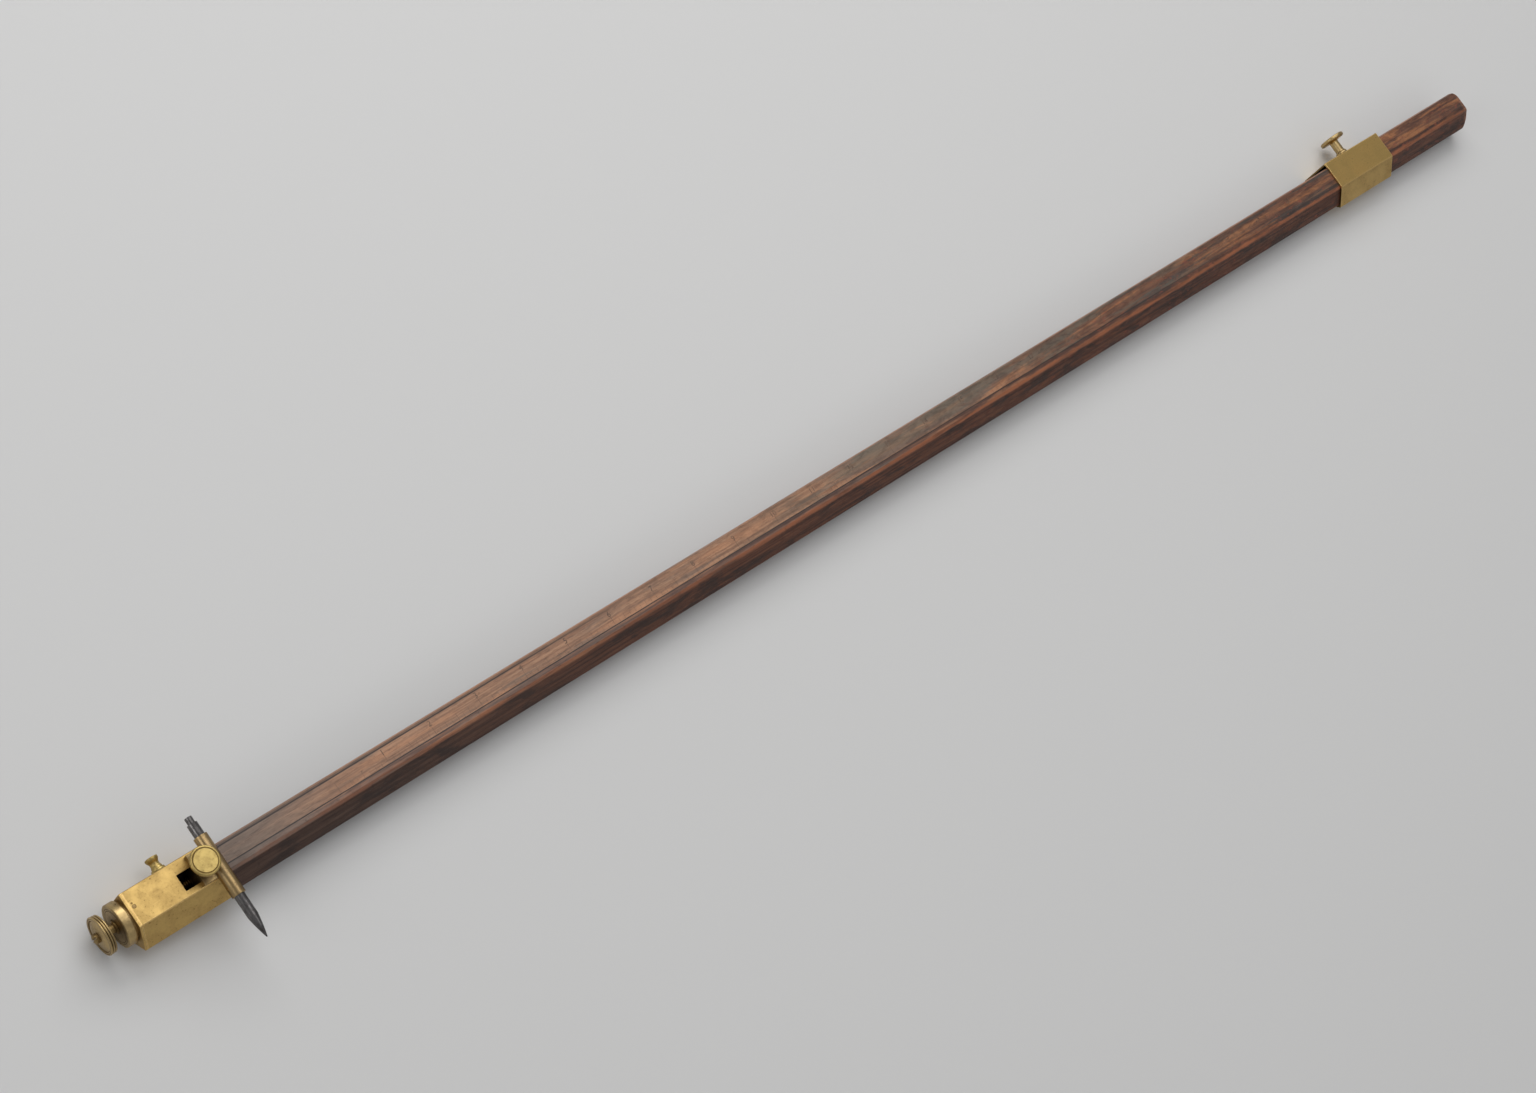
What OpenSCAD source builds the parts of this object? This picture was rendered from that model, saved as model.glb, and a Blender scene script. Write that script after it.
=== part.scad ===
// Beam compass: a wooden beam with a ridged lower edge, a brass head with a screw
// adjustment and a steel point at one end, and a brass sleeve that slides along it.
// It lies on one flat side. +X runs along the beam away from the head, +Y is the
// upper edge in use, where the clamp screws stand, and -Y is the ridge, where the
// point looks. Z is 0 where the cases rest. The origin is below the axis of the
// adjusting screw, halfway along the head's case.

/* [Section] */
// Thickness of the brass cases across the two flat sides
case_t = 20; // [17:0.1:26]
// Width of a case's flat side, from its upper edge to its shoulder
flat_w = 15.6; // [14:0.1:22]
// Included angle of the ridge
ridge_angle = 100; // [90:1:110]
// Sheet thickness of the cases
wall = 1; // [0.7:0.1:1.3]
// Running clearance between the beam and the cases
beam_gap = 0.1; // [0.05:0.01:0.2]
// Room between the beam's upper edge and the case, where the pressure pads lie
pad_room = 1.5; // [1.2:0.1:2]
// Distance from the case's upper face to the adjusting screw's axis
axis_depth = 9.3; // [8.5:0.1:10.5]

/* [Beam] */
// Length of the wooden beam
beam_len = 885; // [500:1:1400]
// Worn bevel along the beam's edges
beam_edge = 0.7; // [0.3:0.1:1.2]
// Rounding of the free end's corners
end_round = 4.6; // [2:0.1:5]
// Thickness of the slip that carries the scale
slip_t = 2; // [1.2:0.1:2.6]
// Distance from the slip's joint to the shoulder
slip_margin = 2.9; // [2:0.1:4]
// Length of the slip, from the beam's end in the head
slip_len = 746; // [300:1:1300]

/* [Head] */
// Length of the head's case, with its end plate
head_len = 43.6; // [42.8:0.1:70]
// Thickness of the end plate's rim
plate_t = 1.2; // [1:0.1:2.5]
// Depth of the end plate's plug inside the case
plug_depth = 3.2; // [2.8:0.1:5]
// Diameter of the pins that hold the end plate
pin_d = 1.4; // [1:0.1:1.8]
// Place of the head's clamp screw along the case
head_clamp_x = 22.6; // [14:0.1:30]
// Diameter of the collar on the end plate
collar_d = 19.6; // [14:0.1:19.8]
// Thickness of the collar's disc
collar_t = 4; // [2:0.1:6]
// Height of the neck between the collar's disc and the end plate
collar_neck = 0.9; // [0.6:0.1:3]

/* [Adjusting screw] */
// Diameter of the screw
screw_d = 4; // [3:0.1:4.6]
// Bare length of the screw between the collar and the knob
screw_bare = 4.8; // [2:0.1:8]
// Diameter of the knob
knob_d = 17.6; // [13:0.1:19.6]
// Thickness of the knob's rim
knob_t = 3; // [2.6:0.1:6]
// How far the screw's tail runs into the beam past the slot
tail_len = 8; // [4:0.1:20]

/* [Point slide] */
// Width of the slot in the head's flat side
slot_w = 7.6; // [7:0.1:8.4]
// Start of the slot, from the end plate's face
slot_start = 24; // [22:0.1:24.6]
// Length of the slot
slot_len = 15.4; // [14:0.1:16.4]
// Place of the slide's clamp screw along the case, as it lies
slide_at = 34; // [33:0.1:36]
// Length of the nut along the screw
nut_l = 6; // [5:0.1:7]
// Thickness of the slide block
block_t = 3; // [2.4:0.1:4]
// Outside diameter of the tube that holds the point
tube_d = 6.3; // [5.9:0.1:7]
// Length of the tube
tube_len = 28.6; // [24:0.1:40]
// Diameter of the slide's thumb screw
slide_thumb_d = 13; // [10:0.1:15]
// Height of the slide's thumb screw above its boss
slide_thumb_h = 6.6; // [6:0.1:12]
// Distance of the slide's thumb screw from the adjusting screw's axis, across the case
slide_thumb_y = 1.6; // [0:0.1:1.8]
// Diameter of the slide's clamp screw
slide_shank_d = 3; // [2.4:0.1:3.4]
// How far the tube stands past the case's upper face
tube_over = 2.7; // [1:0.1:6]
// Diameter of the steel point
point_d = 4.7; // [3.6:0.1:4.8]
// Length of the steel point from end to end
point_len = 58; // [48:0.1:80]
// Length of its tapered end
taper_len = 10.4; // [7:0.1:14]
// How far its tail stands out of the tube
tail_out = 9.1; // [7:0.1:12]

/* [Sliding sleeve] */
// Length of the sleeve
sleeve_len = 45.2; // [30:0.1:70]
// Distance from the head's end plate to the sleeve, as it lies
sleeve_at = 776; // [80:0.5:800]
// Distance from the sleeve's end to its thumb screw
sleeve_clamp_at = 25; // [10:0.1:38]

/* [Clamp screws] */
// Diameter of the screws' shanks
shank_d = 3.6; // [2.6:0.1:4]
// Diameter of the sleeve's thumb screw
thumb_d = 14; // [10:0.1:16]
// Height of the sleeve's thumb screw above its boss
thumb_h = 9.4; // [8:0.1:13]
// Height of the bosses that the clamp screws turn in
boss_h = 1.9; // [1.4:0.1:3]

/* [Hidden] */
$fn = 64;

// Small gaps between pieces
fit_gap = 0.05;      // radial, on screws and rods that turn or slide
seat_gap = 0.1;      // between faces that slide past each other
hold_gap = 0.02;     // radial, on pins and rings that are driven on
cut = 1;             // how far a cutter runs past a face

// Heights and places of the section
axis_z = case_t / 2;
upper_y = axis_depth;
shoulder_y = upper_y - flat_w;
half_ridge = ridge_angle / 2;
ridge_y = shoulder_y - axis_z / tan(half_ridge);
case_edge = 0.3;
inner_y = upper_y - wall;
beam_inset = wall + beam_gap;
beam_upper = inner_y - pad_room;
beam_top_z = case_t - beam_inset;
beam_ridge_y = ridge_y + beam_inset / sin(half_ridge);
beam_shoulder_y = beam_ridge_y + (axis_z - beam_inset) / tan(half_ridge);

// Places along the beam
head_x0 = -head_len / 2;
head_x1 = head_len / 2;
plate_x = head_x0;
case_x0 = head_x0 + plate_t;
plug_x = case_x0 + plug_depth;
thrust_t = 2;
thrust_d = 8;
thrust_x = plug_x + seat_gap;
beam_x0 = thrust_x + thrust_t + 3 * seat_gap;
beam_x1 = beam_x0 + beam_len;
collar_x = plate_x - collar_neck - collar_t;
shoulder_d = screw_d + 1.6;  // ring on the screw that turns against the collar
shoulder_t = 1;
spigot_d = screw_d - 0.8;    // end of the screw inside the knob
knob_sink = 0.3;             // how far the dome's edge is sunk in the knob's face
dome_h = 0.9;                // rise of the dome on the knob's face
knob_thread_d = 1.6;
knob_thread_l = 2.6;
knob_x = collar_x - screw_bare;
slot_x0 = head_x0 + slot_start;
slot_x1 = slot_x0 + slot_len;
slide_x = head_x0 + slide_at;
sleeve_x0 = head_x0 + sleeve_at;
sleeve_x1 = sleeve_x0 + sleeve_len;
sleeve_clamp_x = sleeve_x0 + sleeve_clamp_at;
clamp_x = head_x0 + head_clamp_x;

// Slide: block, nut, tube and point
slot_room = 0.4;     // the beam's slot is this much wider on each side
nut_gap = seat_gap;  // each side of the nut in the case's slot
nut_below = 3.6;     // nut's depth under the screw's axis
slot_below = 4.2;    // slot's depth under the screw's axis
foot_w = slot_w + 3; // flange that the slide's clamp screw draws up under the case
foot_t = 2.4;
block_z = case_t + seat_gap;
block_lead = 3.2;    // from the clamp screw's axis to the block's near face
block_front = 0.2;   // block's front face behind the shoulder
block_back = 1;      // block's back face from the upper edge
block_y0 = shoulder_y + block_front;
block_y1 = upper_y - block_back;
tube_lead = block_lead - seat_gap;  // from the clamp screw's axis to the tube's side
tube_x = slide_x + tube_lead + tube_d / 2;
tube_z = block_z + tube_d / 2;
tube_y1 = upper_y + tube_over;
tube_y0 = tube_y1 - tube_len;
saddle = 1.5;        // block stops this far short of the tube's axis
tail_y = tube_y1 + tail_out;
tail_step_l = 3.1;
tail_step_d = point_d - 1.3;
point_flat = 0.25;   // radius left at the sharp end
point_waist = 0.62;  // radius halfway down the taper, as a share of the rod's

// Clamp screws
shank_bore = shank_d / 2 + fit_gap;
pad_lift = 0.35;     // travel of a pad when its screw is slackened
pad_t = pad_room - pad_lift - 2 * seat_gap;
pad_y = beam_upper + fit_gap;
pad_l = 14;
pad_w = 9;
strip_out = 16;      // how far the sleeve's strip stands out towards the head
tip_y = pad_y + pad_t + fit_gap;
slide_bore = slide_shank_d / 2 + fit_gap;
head_boss_d = 9.6;
sleeve_boss_d = 10.2;
slide_boss_d = 2 * (tube_lead - 0.3);  // clear of the tube
boss_neck_d = 6.2;
neck_d = 4.9;
neck_grip = 4.6;     // depth of the shank inside a thumb screw's neck
head_rim = 2.5;      // thickness of a thumb screw's rim
nut_grip = 4.4;      // depth of the slide's clamp screw in the nut
slide_grip = 2.8;
stud_head_d = 5.8;
stud_neck_d = 4.5;
stud_h = 5.2;
stud_grip = 2.6;
slot_cut_w = 0.9;
slot_cut_d = 0.9;

brass = "#b59a54";
dark_brass = "#9c8347";
steel = "#6f6c6a";
strip_steel = "#33302e";
wood = "#6b3a26";
slip_wood = "#7d4a30";

// Points of an arc of radius r round [x, y], from angle a0 to a1
function arc(x, y, r, a0, a1, n = 8) =
    [for (i = [0:n]) let (a = a0 + (a1 - a0) * i / n) [x + r * cos(a), y + r * sin(a)]];

// Outline of the section, drawn in by inset all round, with its upper edge at top
function outline(inset, top) =
    let (half = axis_z - inset)
    let (tip = ridge_y + inset / sin(half_ridge))
    let (side = tip + half / tan(half_ridge))
    [[top, -half], [top, half], [side, half], [tip, 0], [side, -half]];

// The same outline with each corner bevelled by c
function bevelled(p, c) = let (n = len(p))
    [for (i = [0:n - 1])
        let (before = p[(i + n - 1) % n], here = p[i], after = p[(i + 1) % n])
        each [here + c * (before - here) / norm(before - here),
            here + c * (after - here) / norm(after - here)]];

// A section drawn in Y and Z about the screw's axis, run from x0 to x1
module along_x(x0, x1)
    translate([x0, 0, axis_z])
        rotate([90, 0, 90])
            linear_extrude(height = x1 - x0)
                children();

// A turned piece about an axis along -X, starting at x; its profile rises outwards
module turned_x(x)
    translate([x, 0, axis_z])
        rotate([0, -90, 0])
            rotate_extrude()
                children();

// A turned piece about an axis along +Y, starting at y
module turned_y(x, y)
    translate([x, y, axis_z])
        rotate([-90, 0, 0])
            rotate_extrude()
                children();

// A round bar along +X, +Y or +Z
module bar_x(x0, x1, d)
    translate([x0, 0, axis_z])
        rotate([0, 90, 0])
            cylinder(h = x1 - x0, d = d);

module bar_y(x, y0, y1, z, d)
    translate([x, y0, z])
        rotate([-90, 0, 0])
            cylinder(h = y1 - y0, d = d);

module bar_z(x, y, z0, z1, d)
    translate([x, y, z0])
        cylinder(h = z1 - z0, d = d);

module block(x0, x1, y0, y1, z0, z1)
    translate([x0, y0, z0])
        cube([x1 - x0, y1 - y0, z1 - z0]);

// ---- The beam and its slip ----

// Plan of the beam with its free end's corners rounded
module beam_plan() {
    y0 = beam_ridge_y - cut;
    y1 = beam_upper + cut;
    inner = beam_x1 - end_round;
    translate([beam_x0, y0])
        square([inner - beam_x0, y1 - y0]);
    translate([beam_x0, beam_ridge_y + end_round])
        square([beam_len, beam_upper - beam_ridge_y - 2 * end_round]);
    for (y = [beam_ridge_y + end_round, beam_upper - end_round])
        translate([inner, y])
            circle(r = end_round);
}

// Room for the nut and the adjusting screw inside the beam
module screw_room() {
    half = foot_w / 2 + slot_room;
    block(slot_x0 - slot_room, slot_x1 + slot_room, -half, half,
        axis_z - slot_below, case_t);
    bar_x(beam_x0 - cut, slot_x0, shoulder_d);
    bar_x(slot_x1 - cut, slot_x1 + tail_len + slot_room + cut, screw_d + 2 * seat_gap);
}

module slip_bed(gap) {
    block(beam_x0 - gap * cut, beam_x0 + slip_len,
        beam_shoulder_y + slip_margin, beam_upper + gap * cut,
        beam_top_z - slip_t, beam_top_z + gap * cut);
}

module beam() color(wood)
    difference() {
        intersection() {
            along_x(beam_x0, beam_x1)
                polygon(bevelled(outline(beam_inset, beam_upper), beam_edge));
            linear_extrude(height = case_t)
                beam_plan();
        }
        slip_bed(1);
        screw_room();
    }

module scale_slip() color(slip_wood)
    difference() {
        intersection() {
            along_x(beam_x0, beam_x1)
                polygon(bevelled(outline(beam_inset, beam_upper), beam_edge));
            slip_bed(0);
        }
        screw_room();
    }

// ---- Cases ----

// Folded sheet case open at both ends
module case_shell(x0, x1)
    difference() {
        along_x(x0, x1)
            polygon(bevelled(outline(0, upper_y), case_edge));
        along_x(x0 - cut, x1 + cut)
            polygon(outline(wall, inner_y));
    }

pin_x = case_x0 + plug_depth / 2;
pin_y = 2;
pin_len = 3;

module plate_pin_rods(d)
    for (z0 = [0, case_t - pin_len])
        bar_z(pin_x, pin_y, z0, z0 + pin_len, d);

module head_case() color(brass)
    difference() {
        case_shell(case_x0, head_x1);
        block(slot_x0, slot_x1, -slot_w / 2, slot_w / 2, case_t - 2 * wall, case_t + cut);
        bar_y(clamp_x, inner_y - cut, upper_y + cut, axis_z, 2 * shank_bore);
        plate_pin_rods(pin_d + 2 * hold_gap);
    }

module end_plate() color(brass)
    difference() {
        union() {
            along_x(plate_x, case_x0)
                polygon(bevelled(outline(0, upper_y), case_edge));
            along_x(case_x0, plug_x)
                polygon(outline(wall + hold_gap, inner_y - hold_gap));
        }
        bar_x(plate_x - cut, plug_x + cut, screw_d + 2 * fit_gap);
        plate_pin_rods(pin_d + 2 * hold_gap);
    }

module end_plate_pins() color(dark_brass)
    plate_pin_rods(pin_d);

// Stepped collar, soldered to the end plate, that the screw's shoulder turns against
module screw_collar() color(brass) {
    r = collar_d / 2;
    bore = screw_d / 2 + fit_gap;
    edge = 0.5;
    neck = r - 1.3;
    mouth = bore + 1.4;  // sunk ring round the bore
    turned_x(plate_x)
        polygon([[bore, 0], [neck, 0], [neck, collar_neck], [r - edge, collar_neck],
            [r, collar_neck + edge], [r, collar_neck + collar_t - edge],
            [r - edge, collar_neck + collar_t], [mouth, collar_neck + collar_t],
            [mouth - edge, collar_neck + collar_t - edge],
            [bore, collar_neck + collar_t - edge]]);
}

// ---- Adjusting screw and its knob ----

module adjusting_screw() color(dark_brass) {
    difference() {
        union() {
            bar_x(knob_x, slot_x1 + tail_len, screw_d);
            bar_x(collar_x - fit_gap - shoulder_t, collar_x - fit_gap, shoulder_d);
            bar_x(knob_x - knob_t, knob_x, spigot_d);
        }
        bar_x(knob_x - knob_t - cut, knob_x - knob_t + knob_thread_l + 4 * seat_gap,
            knob_thread_d + 2 * hold_gap);
    }
}

module thrust_collar() color(dark_brass)
    difference() {
        bar_x(thrust_x, thrust_x + thrust_t, thrust_d);
        bar_x(thrust_x - cut, thrust_x + thrust_t + cut, screw_d + 2 * hold_gap);
    }

// Knob with three beads round its rim and a shallow dome on its face
module adjusting_knob() color(brass) {
    r = knob_d / 2;
    bore = spigot_d / 2 + hold_gap;
    bead = 0.42;
    pitch = (knob_t - 2 * bead) / 2;
    groove = r - 0.75;
    hub = 3.4;
    dome_r = r - 1.9;
    beads = [for (i = [0:2])
        each concat([[groove, i * pitch]],
            arc(r - bead - (2 - i) * 0.1, i * pitch + bead, bead, -90, 90, 6),
            [[groove, i * pitch + 2 * bead]])];
    dome = [for (i = [0:6]) let (t = i / 6)
        [dome_r + (hub - 0.6 - dome_r) * t, knob_t - knob_sink + dome_h * sin(90 * t)]];
    turned_x(knob_x)
        polygon(concat([[bore, 0], [hub, 0]], beads,
            [[dome_r + 0.5, knob_t], [dome_r + 0.2, knob_t - knob_sink]], dome,
            [[bore, knob_t - knob_sink + dome_h]]));
}

// Slotted screw that holds the knob on the adjusting screw
module knob_screw() color(dark_brass) {
    head_d = 4.4;
    seat = knob_x - knob_t + knob_sink - dome_h;
    height = 2.3;
    edge = 0.5;
    slot_bottom = 1.2;
    difference() {
        union() {
            turned_x(seat)
                polygon([[0, 0], [head_d / 2, 0], [head_d / 2, height - edge],
                    [head_d / 2 - edge, height], [0, height]]);
            bar_x(seat, knob_x - knob_t, spigot_d - 0.6);
            bar_x(knob_x - knob_t, knob_x - knob_t + knob_thread_l, knob_thread_d);
        }
        block(seat - height - cut, seat - slot_bottom, -slot_cut_w / 2, slot_cut_w / 2,
            axis_z - head_d, axis_z + head_d);
    }
}

// ---- Slide with the point ----

module slide_nut() color(dark_brass)
    difference() {
        half = slot_w / 2 - nut_gap;
        foot_top = case_t - wall - seat_gap;
        union() {
            block(slide_x - nut_l / 2, slide_x + nut_l / 2, -half, half,
                axis_z - nut_below, block_z);
            block(slide_x - nut_l / 2, slide_x + nut_l / 2, -foot_w / 2, foot_w / 2,
                foot_top - foot_t, foot_top);
        }
        bar_x(slide_x - nut_l, slide_x + nut_l, screw_d + 2 * fit_gap);
        bar_z(slide_x, slide_thumb_y, block_z - nut_grip - seat_gap, block_z + cut, 2 * slide_bore);
    }

// Plate on the case's flat side, with a hollow at one end that cradles the tube
module slide_block() color(brass)
    difference() {
        block(slide_x - block_lead, tube_x - saddle, block_y0, block_y1,
            block_z, block_z + block_t);
        bar_y(tube_x, block_y0 - cut, block_y1 + cut, tube_z, tube_d);
        bar_z(slide_x, slide_thumb_y, block_z - cut, block_z + block_t + cut, 2 * slide_bore);
    }

// Tube with eased rims
module point_tube() color(brass) {
    r = tube_d / 2;
    bore = point_d / 2 + fit_gap;
    ease = 0.25;
    translate([tube_x, tube_y0, tube_z])
        rotate([-90, 0, 0])
            rotate_extrude()
                polygon([[bore, 0], [r - ease, 0], [r, ease], [r, tube_len - ease],
                    [r - ease, tube_len], [bore, tube_len]]);
}

// Steel rod with a stepped tail and a long sharp taper
module steel_point() color(steel) {
    r = point_d / 2;
    tail = tail_step_d / 2;
    edge = 0.3;
    sharp = point_len;
    translate([tube_x, tail_y, tube_z])
        rotate([90, 0, 0])
            rotate_extrude()
                polygon([[0, 0], [tail - edge, 0], [tail, edge], [tail, tail_step_l],
                    [r - edge / 2, tail_step_l], [r, tail_step_l + edge / 2],
                    [r, sharp - taper_len],
                    [r * point_waist, sharp - taper_len / 2],
                    [point_flat, sharp], [0, sharp]]);
}

// ---- Clamp screws ----

// Flared boss, [r, h] from the face it is soldered to
module boss_profile(bore, foot_d, height) {
    foot = foot_d / 2;
    top = boss_neck_d / 2;
    sweep = foot - top;
    edge = 0.3;
    polygon(concat([[bore, 0], [foot, 0], [foot, edge]],
        [for (i = [1:5]) let (a = 90 * i / 6)
            [top + sweep * (1 - sin(a)), edge + (height - edge) * (1 - cos(a))]],
        [[top, height], [bore, height]]));
}

// Thumb screw's head and waisted neck, with a blind hole for its shank. The head is
// a disc with a rounded rim, a domed underside and a ring groove near its edge.
module thumb_profile(d, height, bore, grip) {
    r = d / 2;
    neck = neck_d / 2;
    under = height - head_rim;
    waist = 0.9;
    ring = r - 1.2;
    soft = 0.8;
    polygon(concat([[bore, 0], [neck + waist - 0.3, 0]],
        arc(neck + waist, waist + 0.1, waist, 250, 180, 5),
        arc(neck + waist, under - waist + 0.2, waist, 180, 110, 5),
        arc(r - soft, under + soft + 0.35, soft, -70, 0, 4),
        arc(r - soft, height - soft, soft, 0, 80, 4),
        [[ring + 0.25, height], [ring, height - 0.25], [ring - 0.25, height],
            [0, height + 0.15], [0, grip], [bore, grip]]));
}

module head_clamp_boss() color(brass)
    turned_y(clamp_x, upper_y)
        boss_profile(shank_bore, head_boss_d, boss_h);

module sleeve_clamp_boss() color(brass)
    turned_y(sleeve_clamp_x, upper_y)
        boss_profile(shank_bore, sleeve_boss_d, boss_h);

module slide_clamp_boss() color(brass)
    translate([slide_x, slide_thumb_y, block_z + block_t])
        rotate_extrude() {
            r = slide_boss_d / 2;
            height = boss_h / 2;
            edge = 0.3;
            polygon([[slide_bore, 0], [r, 0], [r, height - edge], [r - edge, height],
                [slide_bore, height]]);
        }

module pressure_pad(x)
    block(x - pad_l / 2, x + pad_l / 2, pad_y, pad_y + pad_t,
        axis_z - pad_w / 2, axis_z + pad_w / 2);

module head_clamp_pad() color(dark_brass)
    pressure_pad(clamp_x);

// Long strip whose tapered end stands out of the sleeve
module sleeve_clamp_pad() color(strip_steel) {
    x0 = sleeve_x0 - strip_out;
    x1 = sleeve_x1 - wall;
    mouth = sleeve_x0 - wall;
    end_t = 0.2;
    translate([0, 0, axis_z - pad_w / 2])
        linear_extrude(height = pad_w)
            polygon([[x0, pad_y], [x1, pad_y], [x1, pad_y + pad_t],
                [mouth, pad_y + pad_t], [x0 + 3 * end_t, pad_y + pad_t / 3],
                [x0, pad_y + end_t]]);
}

boss_top = upper_y + boss_h + seat_gap;
slide_boss_top = block_z + block_t + boss_h / 2 + seat_gap;

module head_clamp_screw() color(dark_brass)
    bar_y(clamp_x, tip_y, boss_top + stud_grip - seat_gap, axis_z, shank_d);

module sleeve_clamp_screw() color(dark_brass)
    bar_y(sleeve_clamp_x, tip_y, boss_top + neck_grip - seat_gap, axis_z, shank_d);

module slide_clamp_screw() color(dark_brass)
    bar_z(slide_x, slide_thumb_y, block_z - nut_grip, slide_boss_top + slide_grip - seat_gap,
        slide_shank_d);

// Small slotted head on a short neck
module head_clamp_head() color(brass)
    difference() {
        neck = stud_neck_d / 2;
        r = stud_head_d / 2;
        rim = 1.1;
        edge = 0.3;
        turned_y(clamp_x, boss_top)
            polygon([[shank_bore, 0], [neck + edge, 0], [neck, 2 * edge],
                [neck, stud_h - rim - edge], [r, stud_h - rim], [r, stud_h - edge],
                [r - edge, stud_h], [0, stud_h],
                [0, stud_grip], [shank_bore, stud_grip]]);
        block(clamp_x - stud_head_d, clamp_x + stud_head_d,
            boss_top + stud_h - slot_cut_d, boss_top + stud_h + cut,
            axis_z - slot_cut_w / 2, axis_z + slot_cut_w / 2);
    }

module sleeve_clamp_head() color(brass)
    turned_y(sleeve_clamp_x, boss_top)
        thumb_profile(thumb_d, thumb_h, shank_bore, neck_grip);

module slide_clamp_head() color(brass)
    translate([slide_x, slide_thumb_y, slide_boss_top])
        rotate_extrude()
            thumb_profile(slide_thumb_d, slide_thumb_h, slide_bore, slide_grip);

// ---- Sliding sleeve ----

module sleeve_case() color(brass)
    difference() {
        case_shell(sleeve_x0, sleeve_x1);
        bar_y(sleeve_clamp_x, inner_y - cut, upper_y + cut, axis_z, 2 * shank_bore);
    }

beam();
scale_slip();
head_case();
end_plate();
end_plate_pins();
screw_collar();
head_clamp_boss();
head_clamp_pad();
head_clamp_screw();
head_clamp_head();
adjusting_screw();
thrust_collar();
adjusting_knob();
knob_screw();
slide_nut();
slide_block();
point_tube();
steel_point();
slide_clamp_boss();
slide_clamp_screw();
slide_clamp_head();
sleeve_case();
sleeve_clamp_boss();
sleeve_clamp_pad();
sleeve_clamp_screw();
sleeve_clamp_head();
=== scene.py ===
import math

import bmesh
import bpy
from mathutils import Matrix, Vector


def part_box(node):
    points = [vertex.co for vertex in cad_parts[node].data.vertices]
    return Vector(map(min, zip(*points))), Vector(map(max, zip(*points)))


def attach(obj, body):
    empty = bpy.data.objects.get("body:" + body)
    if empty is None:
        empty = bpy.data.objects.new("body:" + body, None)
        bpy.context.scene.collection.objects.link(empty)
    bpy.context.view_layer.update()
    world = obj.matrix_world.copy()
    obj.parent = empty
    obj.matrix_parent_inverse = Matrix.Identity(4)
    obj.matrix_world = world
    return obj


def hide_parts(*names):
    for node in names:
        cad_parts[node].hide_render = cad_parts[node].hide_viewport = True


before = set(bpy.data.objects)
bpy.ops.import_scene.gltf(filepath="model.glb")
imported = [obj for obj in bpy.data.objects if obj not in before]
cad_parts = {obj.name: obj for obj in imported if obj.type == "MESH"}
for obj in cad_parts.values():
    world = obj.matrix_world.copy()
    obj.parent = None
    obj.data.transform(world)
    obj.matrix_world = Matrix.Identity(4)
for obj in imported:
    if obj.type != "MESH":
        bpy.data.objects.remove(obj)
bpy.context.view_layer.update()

MM = 0.001
INCH = 25.4

# ---- Places in millimetres, from the frame ----


def corners(node):
    """A node's lowest and highest corners."""
    return [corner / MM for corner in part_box(node)]


def middle(node):
    low, high = corners(node)
    return (low + high) / 2


AXIS_Z = middle("adjusting_screw").z
# from a case's upper edge to its shoulder, and from the slip to the beam's own shoulder
FLAT_WIDTH = 15.6
SLIP_MARGIN = 2.9
# the dark strip behind the slip, near the head
BACK_STRIP = 1.75
BEAM_END, BEAM_UPPER, BEAM_TOP = corners("beam")[1]
SLIP_LOW, SLIP_HIGH = corners("scale_slip")
BEAM_SHOULDER = SLIP_LOW.y - SLIP_MARGIN
HEAD_END, CASE_UPPER, CASE_TOP = corners("head_case")[1]
CASE_SHOULDER = CASE_UPPER - FLAT_WIDTH

# ---- Camera, at the photograph's angle, in metres ----

LENS = 67.25
CAMERA_PLACE = (-0.38037, -0.12724, 1.13091)
CAMERA_RIGHT = (0.72033, -0.57054, 0.39448)
CAMERA_AHEAD = (0.53215, 0.08978, -0.84187)


def set_camera():
    data = bpy.data.cameras.new("photo_view")
    data.sensor_width = 36.0
    data.lens = LENS
    data.clip_start = 0.01
    camera = bpy.data.objects.new("photo_view", data)
    bpy.context.scene.collection.objects.link(camera)
    right = Vector(CAMERA_RIGHT).normalized()
    ahead = Vector(CAMERA_AHEAD)
    ahead = (ahead - right * ahead.dot(right)).normalized()
    turn = Matrix((right, right.cross(ahead), -ahead)).transposed().to_4x4()
    camera.matrix_world = Matrix.Translation(CAMERA_PLACE) @ turn
    bpy.context.scene.camera = camera


# ---- Shader maths ----


class Value:
    """A value in a finish. Arithmetic on it adds Math nodes."""

    def __init__(self, finish, socket):
        self.finish = finish
        self.socket = socket

    def maths(self, operation, *values):
        return self.finish.node("Math", {"operation": operation}, dict(enumerate(values)))

    def __add__(self, other):
        return self.maths("ADD", self, other)

    __radd__ = __add__

    def __mul__(self, other):
        return self.maths("MULTIPLY", self, other)

    __rmul__ = __mul__

    def __sub__(self, other):
        return self.maths("SUBTRACT", self, other)

    def __rsub__(self, other):
        return self.maths("SUBTRACT", other, self)

    def __pow__(self, other):
        return self.maths("POWER", self, other)

    def size(self):
        return self.maths("ABSOLUTE", self)

    def least(self, other):
        return self.maths("MINIMUM", self, other)

    def most(self, other):
        return self.maths("MAXIMUM", self, other)


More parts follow.
